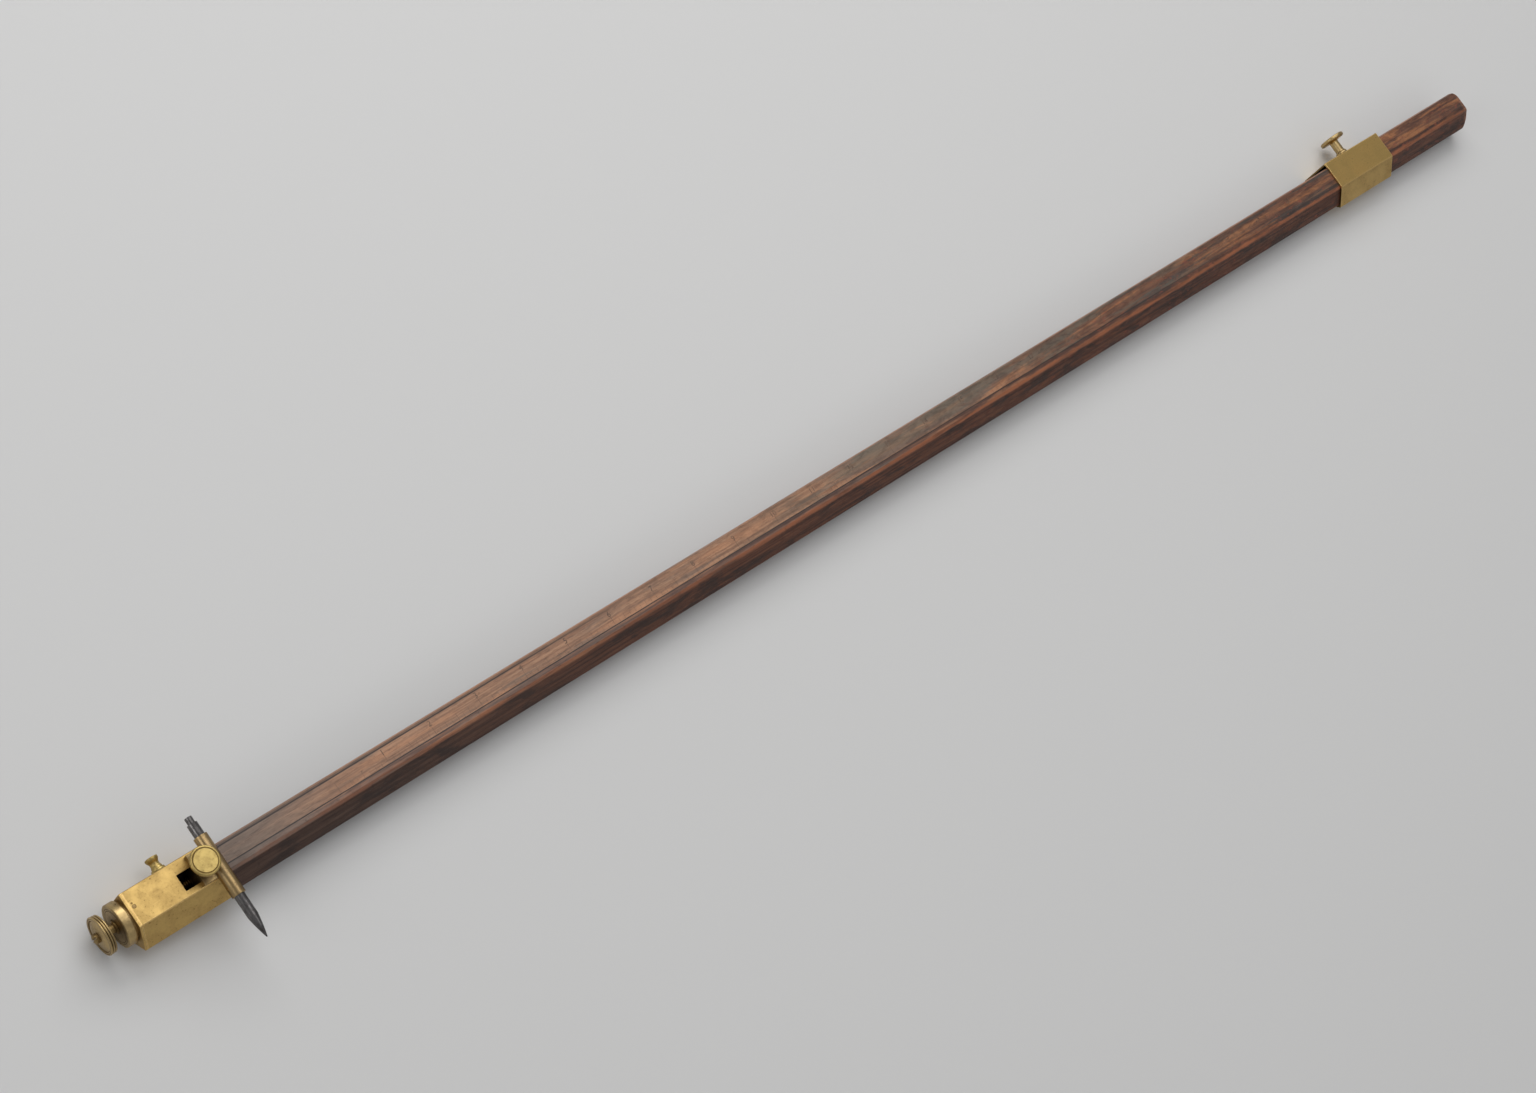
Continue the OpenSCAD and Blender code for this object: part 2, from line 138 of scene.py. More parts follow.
class Finish:
    """One material and the tree that its nodes are added to."""

    def __init__(self, name):
        self.material = bpy.data.materials.new(name)
        self.material.use_nodes = True
        self.tree = self.material.node_tree
        self.shader = self.tree.nodes["Principled BSDF"]
        place = self.node("TexCoord", {}, {}, out="Object")
        self.place = self.node("VectorMath", {"operation": "SCALE"}, {0: place, "Scale": 1 / MM})
        self.x, self.y, self.z = (self.node("SeparateXYZ", {}, {0: self.place}, out=a) for a in "XYZ")

    def node(self, kind, settings, values, out=0):
        """Adds a node, links or sets its inputs, and gives one of its outputs."""
        made = self.tree.nodes.new("ShaderNode" + kind)
        for key, setting in settings.items():
            setattr(made, key, setting)
        for key, value in values.items():
            self.put(made.inputs[key], value)
        return Value(self, made.outputs[out])

    def put(self, socket, value):
        if isinstance(value, Value):
            self.tree.links.new(value.socket, socket)
        elif isinstance(value, tuple) and socket.type == "RGBA":
            socket.default_value = (*value, 1.0)
        else:
            socket.default_value = value

    def set(self, **values):
        """Sets the shader's inputs, with _ for each space in a name."""
        for key, value in values.items():
            self.put(self.shader.inputs[key.replace("_", " ")], value)

    def stretched(self, x, y, z, shift=(0.0, 0.0, 0.0)):
        """The place in millimetres, scaled and shifted for a noise."""
        return self.node("Mapping", {}, {"Vector": self.place, "Scale": (x, y, z), "Location": shift})

    def noise(self, at, detail, rough, twist=0.0, scale=1.0):
        values = {"Vector": at, "Scale": scale, "Detail": detail, "Roughness": rough, "Distortion": twist}
        return self.node("TexNoise", {}, values)

    def grain(self, along, across, detail, rough, twist=0.0, shift=(0.0, 0.0, 0.0)):
        """Noise with one scale along X and one across it."""
        return self.noise(self.stretched(along, across, across, shift), detail, rough, twist)

    def step(self, value, low, high, to_low=0.0, to_high=1.0):
        values = {0: value, 1: low, 2: high, 3: to_low, 4: to_high}
        return self.node("MapRange", {"interpolation_type": "SMOOTHSTEP"}, values)

    def fade(self, value, low, high):
        return self.step(value, low, high, 1.0, 0.0)

    def blend(self, share, first, second, mode="MIX"):
        values = {0: share, 6: first, 7: second}
        return self.node("Mix", {"data_type": "RGBA", "blend_type": mode}, values, out=2)

    def bump(self, height, depth, strength):
        return self.node("Bump", {}, {"Height": height, "Distance": depth, "Strength": strength})


# ---- Wood ----


def wood_figure(f, shift):
    """The grain: its slow waves, its finest lines, and the whole figure."""
    wavy = f.grain(0.012, 0.16, 2.0, 0.5, shift=shift)
    lines = f.grain(0.010, 0.75, 6.0, 0.62, 0.5, shift)
    fine = f.grain(0.05, 3.2, 4.0, 0.65, 0.2, shift)
    return wavy, fine, f.step(lines * 0.62 + fine * 0.38, 0.36, 0.64)


def wood_ground(f, light, dark, figure, scale_face, outer_past_sheen):
    """The ground colour. Near the head the scale's face is lighter with a painted sheen of the light; past
    the middle it is darker and redder.
    """
    # near the head the top colours are lifted by a painted sheen; past the middle they are the wood's own
    top_light = f.blend(outer_past_sheen, light, (0.230, 0.095, 0.048))
    top_dark = f.blend(outer_past_sheen, dark, (0.090, 0.040, 0.026))
    side_light = f.blend(f.step(f.x, 60.0, 300.0), (0.105, 0.060, 0.042), (0.190, 0.070, 0.036))
    side = f.blend(figure, (0.045, 0.020, 0.013), side_light)
    return f.blend(scale_face, side, f.blend(figure, top_dark, top_light))


def face_patches(f, colour, wavy, scale_face, outer_past_sheen):
    """Orange patches and grey stains on the scale's face. Also gives the grey stains' mask."""
    near_head = f.fade(f.x, HEAD_END + 10.0, HEAD_END + 75.0)
    patch = f.step(f.grain(0.016, 0.26, 5.0, 0.62, 0.5, (1.0, 9.0, 4.0)), 0.50, 0.62)
    patch = patch * scale_face * (1.0 - near_head)
    orange = f.blend(outer_past_sheen, (0.50, 0.235, 0.115), (0.400, 0.165, 0.064))
    colour = f.blend(patch * (0.60 + 0.20 * outer_past_sheen), colour, orange)
    streak = f.step(f.grain(0.010, 0.24, 6.0, 0.60, 0.5, (2.0, 5.0, 3.0)), 0.49, 0.58)
    grey = (streak * (0.55 + 0.25 * outer_past_sheen)).most(near_head * (0.35 + 0.75 * wavy))
    ash = f.blend(outer_past_sheen, (0.170, 0.135, 0.108), (0.056, 0.053, 0.047))
    return f.blend(grey * scale_face, colour, ash), grey


def slip_and_strip(f, colour, scale_face):
    """Cool patches on the slip at mid length, and the strip before the slip, which is lighter near the head
    with a painted sheen and darker in two steps away from it.
    """
    on_slip = f.step(f.y, SLIP_LOW.y - 0.4, SLIP_LOW.y)
    cool = f.step(f.grain(0.018, 0.17, 5.0, 0.62, 0.5, (8.0, 2.0, 6.0)), 0.47, 0.56)
    cool = cool * f.step(f.x, 290.0, 400.0) * f.fade(f.x, 560.0, 720.0)
    colour = f.blend(cool * scale_face * on_slip * 0.62, colour, (0.125, 0.118, 0.088))
    # painted sheen: the strip stays lighter near the head and is darkened in two steps further away
    darker = f.step(f.x, 110.0, 170.0, 0.0, 0.35) + f.step(f.x, 440.0, 600.0, 0.0, 0.45)
    return f.blend((1.0 - on_slip) * scale_face * darker, colour, (0.50, 0.42, 0.40), "MULTIPLY")


def wood_stains(f, colour, scale_face, outer_past_sheen, shift):
    """Mottling that grows with distance, dark blots, red specks and pores. Also gives the pores."""
    mottle = f.step(f.grain(0.11, 0.34, 6.0, 0.72, 0.8, (5.0, 8.0, 2.0)), 0.44, 0.60)
    mottle = mottle * f.step(f.x, 120.0, 620.0, 0.30, 0.85)
    colour = f.blend(mottle, colour, (0.60, 0.54, 0.52), "MULTIPLY")
    blot = f.step(f.grain(0.035, 0.12, 6.0, 0.68, 0.6, shift), 0.48, 0.60)
    colour = f.blend(blot * (1.0 - scale_face * 0.75) * 0.72, colour, (0.030, 0.019, 0.016))
    speck = f.step(f.grain(0.22, 0.5, 3.0, 0.7, shift=(4.0, 1.0, 2.0)), 0.58, 0.68)
    colour = f.blend(speck * outer_past_sheen * 0.6, colour, (0.27, 0.065, 0.032))
    pore = f.step(f.grain(0.22, 7.0, 2.0, 0.5, shift=shift), 0.58, 0.68)
    return f.blend(pore * 0.55, colour, (0.022, 0.011, 0.008)), pore


def rubbed_wood(f, colour):
    """The arrises and the free end, rubbed to bare wood. Also gives the two arrises' masks."""
    rub = f.step(f.grain(0.035, 0.45, 5.0, 0.7), 0.34, 0.60)
    wander = f.grain(0.06, 0.06, 5.0, 0.75, shift=(3.0, 2.0, 8.0))
    off_edge = (f.y - BEAM_SHOULDER).size().most((f.z - BEAM_TOP).size()) + (wander - 0.5) * 2.6
    front = f.fade(off_edge, 0.25, 1.5) * (0.25 + 0.75 * rub)
    colour = f.blend(front * f.step(f.x, 40.0, 460.0, 0.35, 0.92), colour, (0.360, 0.120, 0.050))
    back = f.fade((f.y - BEAM_UPPER + 0.2).size(), 0.15, 0.75)
    back = back * f.step(f.z, BEAM_TOP - 1.4, BEAM_TOP - 0.5)
    colour = f.blend(back * rub * 0.7, colour, (0.36, 0.18, 0.105))
    end = f.step(f.x + (wander - 0.5) * 3.0, BEAM_END - 2.6, BEAM_END - 0.6)
    rings = f.noise(f.stretched(0.02, 1.10, 0.30, (2.0, 4.0, 6.0)), 4.0, 0.62, 1.2)
    bare = f.blend(f.step(rings, 0.42, 0.60), (0.150, 0.062, 0.036), (0.350, 0.165, 0.095))
    return f.blend(end * 0.75, colour, bare), front, back


def slip_joints(f, colour, wavy, scale_face, back_arris):
    """Dark joint lines: the slip's front all the way, and its back near the head, with a dark
    strip behind that. Also gives the lines' mask."""
    front = f.fade((f.y - SLIP_LOW.y + (wavy - 0.5) * 0.15).size(), 0.16, 0.32)
    front = front * scale_face * f.step(f.x, 560.0, 735.0, 0.95, 0.0)
    colour = f.blend(front, colour, (0.014, 0.008, 0.006))
    line = BEAM_UPPER - BACK_STRIP
    back = f.fade((f.y - line + (wavy - 0.5) * 0.3).size(), 0.20, 0.38)
    back = back * scale_face * f.fade(f.x, 160.0, 300.0)
    colour = f.blend(back * 0.95, colour, (0.014, 0.007, 0.005))
    behind = f.step(f.y, line, line + 0.25) * f.step(f.x, 160.0, 300.0, 0.55, 0.0)
    return f.blend(behind * (1.0 - back_arris), colour, (0.050, 0.026, 0.019)), front + back


def mahogany(name, light, dark, shift):
    """Old polished mahogany, with its grain along the beam."""
    f = Finish(name)
    scale_face = f.step(f.z, BEAM_TOP - 1.1, BEAM_TOP - 0.5)
    # the outer part of the beam, past the painted sheen near the head
    outer_past_sheen = f.step(f.x, 360.0, 640.0)
    wavy, fine, figure = wood_figure(f, shift)
    colour = wood_ground(f, light, dark, figure, scale_face, outer_past_sheen)
    colour, grey = face_patches(f, colour, wavy, scale_face, outer_past_sheen)
    colour = slip_and_strip(f, colour, scale_face)
    colour, pore = wood_stains(f, colour, scale_face, outer_past_sheen, shift)
    colour, front_arris, back_arris = rubbed_wood(f, colour)
    colour, joint = slip_joints(f, colour, wavy, scale_face, back_arris)
    dirt = f.step(f.grain(0.35, 0.35, 5.0, 0.7), 0.60, 0.72)
    colour = f.blend(dirt * 0.40, colour, (0.022, 0.012, 0.009))
    dent = f.step(f.grain(0.12, 0.35, 3.0, 0.6, shift=(6.0, 6.0, 6.0)), 0.60, 0.74)
    rough = 0.34 + 0.16 * fine + 0.12 * grey + 0.14 * front_arris + 0.12 * dirt
    height = figure - pore * 1.2 + dirt * 0.2 - dent * 1.6 - joint * 3.0
    f.set(Base_Color=colour, Roughness=rough, Normal=f.bump(height, 0.00005, 0.6),
          Coat_Weight=scale_face * 0.45, Coat_Roughness=0.30, Specular_IOR_Level=0.28)
    return f.material


# ---- Brass, steel, ink and floor ----


def draw_marks(f, turned_on):
    """Marks along X on sheet, or rings about the axis of a turned piece, such as ("Z", x, y).
    Gives the soft marks, the bright lines, and the distance from the axis."""
    if not turned_on:
        bright = f.grain(0.066, 7.0, 2.0, 0.5)
        return f.grain(0.03, 1.6, 5.0, 0.7), f.step(bright, 0.60, 0.74), None
    axis, a, b = turned_on
    first, second, along = {"X": (f.y, f.z, f.x), "Y": (f.x, f.z, f.y), "Z": (f.x, f.y, f.z)}[axis]
    off = ((first - a) ** 2 + (second - b) ** 2) ** 0.5
    rings = f.node("CombineXYZ", {}, {0: off * 5.0, 1: along * 5.0})
    bright = f.noise(rings, 2.0, 0.5, scale=2.6)
    return f.noise(rings, 4.0, 0.65), f.step(bright, 0.60, 0.74), off


def brown_spots(f, cloud, fleck, off, pins, grooves):
    """Flecks in patches, stains at pins of (x, y, radius), and dirt in grooves of (radius, half)."""
    spot = f.step(fleck, 0.60, 0.69) * f.step(cloud, 0.40, 0.56, 0.15, 1.0)
    for x, y, r in pins:
        away = ((f.x - x) ** 2 + (f.y - y) ** 2) ** 0.5
        spot = spot.most(f.step(away + (fleck - 0.5) * 0.8, r * 0.8, r, 1.3, 0.0))
    for r, half in grooves:
        spot = spot.most(f.fade((off - r).size(), half * 0.6, half) * 1.25)
    return spot


def rubbed_brass(f, line, fleck, ends):
    """Bright scratches, and the bright ends and arrises of the cases: rubbed brass with a painted highlight
    along these edges.
    """
    rubbed_and_highlit = line * 0.22
    # the cases' ends and arrises are lighter: partly rubbed brass, partly a painted highlight along the
    # edges
    for x in ends:
        off_end = (f.x - x).size() + (fleck - 0.5) * 0.5
        rubbed_and_highlit = rubbed_and_highlit.most(f.step(off_end, 0.15, 0.50, 0.85, 0.0))
    if ends:
        off_edge = (f.y - CASE_SHOULDER).size().most((f.z - CASE_TOP).size()) + (fleck - 0.5) * 0.7
        rubbed_and_highlit = rubbed_and_highlit.most(f.step(off_edge, 0.15, 0.55, 0.75, 0.0))
    return rubbed_and_highlit


def old_brass(name, colours, worn=0.5, turned_on=None, sheen=0.27, pins=(), grooves=(), ends=()):
    """Brass with a dull skin: clouded colour, brown spots and fine scratches."""
    f = Finish(name)
    bright, dull, brown = colours
    cloud = f.grain(0.10, 0.10, 5.0, 0.62, 0.4)
    fleck = f.grain(0.9, 0.9, 4.0, 0.7)
    draw, line, off = draw_marks(f, turned_on)
    tarnish = f.step(cloud * 0.7 + fleck * 0.3, 0.36, 0.70)
    colour = f.blend(tarnish * (1.25 - worn), bright, dull)
    spot = brown_spots(f, cloud, fleck, off, pins, grooves)
    colour = f.blend(spot.least(1.0) * 0.66, colour, brown)
    rubbed_and_highlit = rubbed_brass(f, line, fleck, ends)
    # the rubbed places and the painted highlight on the cases' edges, in a lighter brass
    colour = f.blend(rubbed_and_highlit, colour, tuple(min(1.0, c * 1.35 + 0.04) for c in bright))
    # the sheet's cut ends are darker, except near the top flat
    for x in ends:
        rim = f.step((f.x - x).size(), 0.02, 0.09, 0.8, 0.0) * f.fade(f.z, CASE_TOP - 1.6, CASE_TOP - 0.8)
        colour = f.blend(rim, colour, tuple(c * 0.55 for c in brown))
    rough = sheen + 0.20 * tarnish + 0.12 * draw + 0.16 * spot - 0.08 * rubbed_and_highlit
    height = draw * 0.6 + line * -0.5 + spot * -0.35
    f.set(Base_Color=colour, Roughness=rough, Metallic=1.0, Normal=f.bump(height, 0.000018, 0.5))
    return f.material


def dark_steel(name, colours, roughness):
    """Old polished steel that has gone grey, with brown bloom."""
    f = Finish(name)
    light, dark, rust = colours
    cloud = f.noise(f.stretched(0.35, 0.16, 0.35), 5.0, 0.65, 0.3)
    fine = f.noise(f.stretched(3.5, 0.25, 3.5), 4.0, 0.6)
    shade = f.step(cloud, 0.36, 0.66)
    bloom = f.step(f.grain(0.8, 0.8, 4.0, 0.7, shift=(5.0, 0.0, 0.0)), 0.56, 0.72)
    colour = f.blend(bloom * 0.5, f.blend(shade, light, dark), rust)
    rough = roughness + 0.18 * shade + 0.2 * bloom
    height = fine * 0.6 + bloom * -0.4
    f.set(Base_Color=colour, Roughness=rough, Metallic=1.0, Normal=f.bump(height, 0.00002, 0.5))
    return f.material


def scale_ink(name):
    """Brown ink, worn away in places to nearly the slip's colour."""
    f = Finish(name)
    worn = f.step(f.grain(0.5, 0.5, 4.0, 0.7), 0.35, 0.7)
    f.set(Base_Color=f.blend(worn, (0.055, 0.030, 0.020), (0.21, 0.115, 0.068)), Roughness=0.5 + 0.1 * worn)
    return f.material


def floor_finish():
    """A plain pale floor, which the metal also reflects."""
    f = Finish("pale_floor")
    f.set(Base_Color=(0.66, 0.655, 0.645), Roughness=0.62)
    return f.material


# ---- Making pieces ----

MERGE = 0.0005


def add_object(name, data):
    made = bpy.data.objects.new(name, data)
    bpy.context.scene.collection.objects.link(made)
    return made


def mesh_of(name, shape):
    """Turns a bmesh into a mesh, and frees the bmesh."""
    mesh = bpy.data.meshes.new(name)
    shape.to_mesh(mesh)
    shape.free()
    return mesh


def add_box(shape, place, size):
    matrix = Matrix.Translation(place) @ Matrix.Diagonal((*size, 1.0))
    bmesh.ops.create_cube(shape, size=1.0, matrix=matrix)


def new_piece(name, shape, finish, body, nodes=(), smooth=35.0):
    """Turns a bmesh in millimetres into a piece at the origin."""
    bmesh.ops.remove_doubles(shape, verts=shape.verts, dist=MERGE)
    bmesh.ops.recalc_face_normals(shape, faces=shape.faces)
    bmesh.ops.scale(shape, vec=(MM, MM, MM), verts=shape.verts)
    mesh = mesh_of(name, shape)
    piece = add_object(name, mesh)
    mesh.materials.append(finish)
    mesh.shade_smooth()
    mesh.set_sharp_from_angle(angle=math.radians(smooth))
    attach(piece, body)
    if nodes:
        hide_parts(*nodes)
    return piece


def eased_copy(node, finish, body, width):
    """A node's own shape with its sharp arrises eased, which stands for the node."""
    shape = bmesh.new()
    shape.from_mesh(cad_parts[node].data)
    bmesh.ops.scale(shape, vec=(1 / MM, 1 / MM, 1 / MM), verts=shape.verts)
    bmesh.ops.remove_doubles(shape, verts=shape.verts, dist=0.002)
    bmesh.ops.dissolve_limit(
        shape, angle_limit=math.radians(0.6), verts=shape.verts, edges=shape.edges)
    piece = new_piece(node + "_eased", shape, finish, body, (node,))
    bevel = piece.modifiers.new("eased", "BEVEL")
    bevel.width = width * MM
    bevel.segments = 2
    bevel.limit_method = "ANGLE"
    bevel.angle_limit = math.radians(28)
    bevel.use_clamp_overlap = True
    even = piece.modifiers.new("even_faces", "WEIGHTED_NORMAL")
    even.keep_sharp = True


def turned(points, turns=1, steps=96, rise=0.0):
    """Spins a profile of (radius, height) points, in millimetres, round Z."""
    shape = bmesh.new()
    verts = [shape.verts.new((r, 0, h)) for r, h in points]
    edges = [shape.edges.new(pair) for pair in zip(verts, verts[1:])]
    count = steps * turns
    bmesh.ops.spin(
        shape, geom=verts + edges, cent=(0, 0, 0), axis=(0, 0, 1), angle=math.tau * turns,
        steps=count, dvec=(0, 0, rise / count), use_merge=rise == 0.0, use_duplicate=False)
    return shape


def facing(shape, place, axis):
    """Turns a piece that was made round Z to its axis, and puts it in its place."""
    turn = Vector((0, 0, 1)).rotation_difference(Vector(axis)).to_matrix().to_4x4()
    bmesh.ops.transform(shape, matrix=Matrix.Translation(place) @ turn, verts=shape.verts)
    return shape


def arc(x, y, r, first, last, steps=9):
    """Points of an arc of a profile, from one angle to another in degrees."""
    angles = [math.radians(first + (last - first) * i / steps) for i in range(steps + 1)]
    return [(x + r * math.cos(a), y + r * math.sin(a)) for a in angles]


# ---- Turned pieces ----

OUTWARD = (-1, 0, 0)
UPWARD = (0, 1, 0)
TURNED_SMOOTH = 32.0
HALF_SLOT = 0.45
SCREW_BORE = 1.85


def turned_part(name, node, profile, place, axis, finish, body):
    """A turned piece that stands for a node."""
    shape = facing(turned(profile), place, axis)
    return new_piece(name, shape, finish, body, (node,), TURNED_SMOOTH)


def cut_slot(piece, low, high):
    """Cuts a screwdriver's slot, given by the corners of a box in millimetres."""
    low, high = Vector(low) * MM, Vector(high) * MM
    block = bmesh.new()
    add_box(block, (low + high) / 2, high - low)
    cutter = add_object("slot_block", mesh_of("slot_block", block))
    cut = piece.modifiers.new("slot", "BOOLEAN")
    cut.object = cutter
    cut.solver = "EXACT"
    bpy.context.view_layer.update()
    done = bpy.data.meshes.new_from_object(piece.evaluated_get(bpy.context.evaluated_depsgraph_get()))
    piece.modifiers.clear()
    piece.data = done
    done.set_sharp_from_angle(angle=math.radians(TURNED_SMOOTH))
    block_mesh = cutter.data
    bpy.data.objects.remove(cutter)
    bpy.data.meshes.remove(block_mesh)


def screw_collar():
    """The round collar on the end plate, with a narrow foot and a fine groove near its rim."""
    low, high = corners("screw_collar")
    rim = high.z - AXIS_Z
    deep = high.x - low.x
    bore = 2.05
    foot = rim - 1.3
    step = 0.9
    ease = 0.45
    profile = [(bore, 0), (foot, 0), (foot, step), (rim - ease - 0.05, step),
               *arc(rim - ease, step + ease, ease, -80, 0, 5), *arc(rim - ease, deep - ease, ease, 0, 80, 5),
               (rim - 0.9, deep), (rim - 1.05, deep - 0.12), (rim - 1.2, deep),
               (bore + 1.4, deep), (bore + 0.9, deep - 0.5), (bore, deep - 0.5), (bore, 0)]
    turned_part("collar_turned", "screw_collar", profile, (high.x, 0, AXIS_Z), OUTWARD, end_brass,
                "beam")


def adjusting_knob():
    """The knob: three beads round its rim, and a low dome inside a groove on its face."""
    low, high = corners("adjusting_knob")
    rim = high.z - AXIS_Z
    deep = high.x - low.x
    bore = 1.62
    bead = 0.42
    pitch = 1.08
    lean = 0.1
    root = rim - 0.85
    beads = []
    for i in range(3):
        beads += [(root, i * pitch), *arc(rim - bead - (2 - i) * lean, i * pitch + bead, bead, -78, 78),
                  (root, i * pitch + 2 * bead)]
    face = 2 * (pitch + bead)
    rise = 0.9
    dome = [(rim - 1.9 - 4.1 * i / 12, deep - rise + rise * math.sin(math.pi * i / 24)) for i in range(13)]
    profile = [(bore, 0), (3.4, 0), *beads, (rim - 1.4, face), (rim - 1.55, face - 0.28),
               (rim - 1.75, face - 0.34), *dome, (bore, deep), (bore, 0)]
    turned_part("knob_turned", "adjusting_knob", profile, (high.x, 0, AXIS_Z), OUTWARD, end_brass,
                "adjusting_screw")


def knob_screw():
    """The small slotted screw that holds the knob."""
    seat = corners("adjusting_knob")[0].x
    r = corners("knob_screw")[1].z - AXIS_Z
    stem = 0.8
    neck = 1.3
    profile = [(0, -3.2), (stem, -3.2), (stem, -0.6), (neck, -0.6), (neck, 0), (r - 0.1, 0), (r, 0.1),
               (r, 1.3), *arc(r - 0.5, 1.35, 0.5, 0, 70, 6), (1.0, 2.15), (0, 2.28)]
    piece = turned_part("knob_screw_turned", "knob_screw", profile, (seat, 0, AXIS_Z), OUTWARD, screw_brass,
                        "adjusting_screw")
    cut_slot(piece, (seat - 4, -HALF_SLOT, AXIS_Z - 6), (seat - 1.2, HALF_SLOT, AXIS_Z + 6))


def thumb_profile(d, height, bore, grip):
    """A thumb screw's disc on its waisted neck, with the blind hole for its shank."""
    r = d / 2
    neck = 2.45
    under = height - 2.5
    waist = 0.9
    ring = r - 1.2
    soft = 0.8
    return [(bore, 0), (neck + waist - 0.3, 0), *arc(neck + waist, waist + 0.1, waist, 250, 180),
            *arc(neck + waist, under - waist + 0.2, waist, 180, 110),
            *arc(r - soft, under + soft + 0.35, soft, -70, 0), *arc(r - soft, height - soft, soft, 0, 80),
            *arc(ring, height + 0.10, 0.34, -17, -163, 8), (ring - 0.6, height), (0, height + 0.14),
            (0, grip), (bore, grip), (bore, 0)]


def boss_profile(foot, height):
    """A flared foot round a clamp screw."""
    top = 3.1
    edge = 0.3
    curve = [(foot - (foot - top) * math.sin(a), edge + (height - edge) * (1 - math.cos(a)))
             for a in (math.radians(90 * i / 12) for i in range(1, 12))]
    return [(SCREW_BORE, 0), (foot, 0), (foot, edge), *curve, (top, height), (SCREW_BORE, height),
            (SCREW_BORE, 0)]


def slide_thumb_screw():
    """The disc above the slide, and the low ring that it turns on."""
    bore = 1.55
    disc = middle("slide_clamp_head")
    base = corners("slide_clamp_head")[0].z
    turned_part("slide_thumb_turned", "slide_clamp_head", thumb_profile(13.0, 6.6, bore, 2.8),
                (disc.x, disc.y, base), (0, 0, 1), slide_brass, "slide_clamp")
    ring = [(bore, 0), (2.8, 0), (2.8, 0.65), (2.5, 0.95), (bore, 0.95), (bore, 0)]
    foot = corners("slide_clamp_boss")[0].z
    turned_part("slide_boss_turned", "slide_clamp_boss", ring, (disc.x, disc.y, foot), (0, 0, 1),
                slide_brass, "slide")


def sleeve_thumb_screw():
    """The sleeve's thumb screw and its foot."""
    x = middle("sleeve_clamp_head").x
    base = corners("sleeve_clamp_head")[0].y
    turned_part("sleeve_thumb_turned", "sleeve_clamp_head", thumb_profile(14.0, 9.4, SCREW_BORE, 4.6),
                (x, base, AXIS_Z), UPWARD, sleeve_brass, "sleeve_clamp")
    foot = corners("sleeve_clamp_boss")[0].y
    turned_part("sleeve_boss_turned", "sleeve_clamp_boss", boss_profile(5.1, 1.9),
                (x, foot, AXIS_Z), UPWARD, sleeve_brass, "sleeve")


def head_clamp_stud():
    """The head's small waisted screw with a slot across it, and its foot."""
    x = middle("head_clamp_head").x
    base = corners("head_clamp_head")[0].y
    foot = corners("head_clamp_boss")[0].y
    turned_part("head_boss_turned", "head_clamp_boss", boss_profile(4.8, 1.9),
                (x, foot, AXIS_Z), UPWARD, stud_brass, "beam")
    r = 2.9
    top = 5.2
    waist = 1.8
    profile = [(SCREW_BORE, 0), (2.55, 0), *arc(3.9, 1.9, waist, 215, 180), *arc(3.9, 2.2, waist, 180, 145),
               (r, 4.1), (r, 4.9), *arc(r - 0.3, 4.9, 0.3, 0, 80, 4), (2.2, top), (2.1, top - 0.1),
               (2.0, top), (0, top), (0, 2.6), (SCREW_BORE, 2.6), (SCREW_BORE, 0)]
    piece = turned_part("stud_turned", "head_clamp_head", profile, (x, base, AXIS_Z), UPWARD, stud_brass,
                        "head_clamp")
    cut_slot(piece, (x - 6, base + 4.3, AXIS_Z - HALF_SLOT), (x + 6, base + 8, AXIS_Z + HALF_SLOT))


def point_and_tube():
    """The tube across the beam, and the steel point with its stepped tail."""
    low, high = corners("point_tube")
    x, z = (low.x + high.x) / 2, (low.z + high.z) / 2
    r = (high.x - low.x) / 2
    bore = 2.4
    lip = 0.2
    length = high.y - low.y
    tube = [(bore, lip), (bore + lip, 0), (r - 0.25, 0), *arc(r - lip, lip, lip, -60, 0, 4),
            *arc(r - lip, length - lip, lip, 0, 60, 4), (r - 0.25, length), (bore + lip, length),
            (bore, length - lip), (bore, lip)]
    turned_part("tube_turned", "point_tube", tube, (x, low.y, z), UPWARD, tube_brass, "slide")

    tip, tail = (corner.y for corner in corners("steel_point"))
    length = tail - tip
    taper_length = 10.4
    r = 2.35
    step = 3.1
    taper = [(r - 1.472 * t - 0.628 * t * t, length - taper_length * (1 - t))
             for t in (i / 14 for i in range(15))]
    rod = [(0, 0), (1.4, 0), *arc(1.4, 0.3, 0.3, -70, 0, 4), (1.7, step), (r - 0.15, step), (r, step + 0.15),
           *taper, (0, length)]
    turned_part("point_turned", "steel_point", rod, (x, tail, z), (0, -1, 0), point_steel,
                "point")


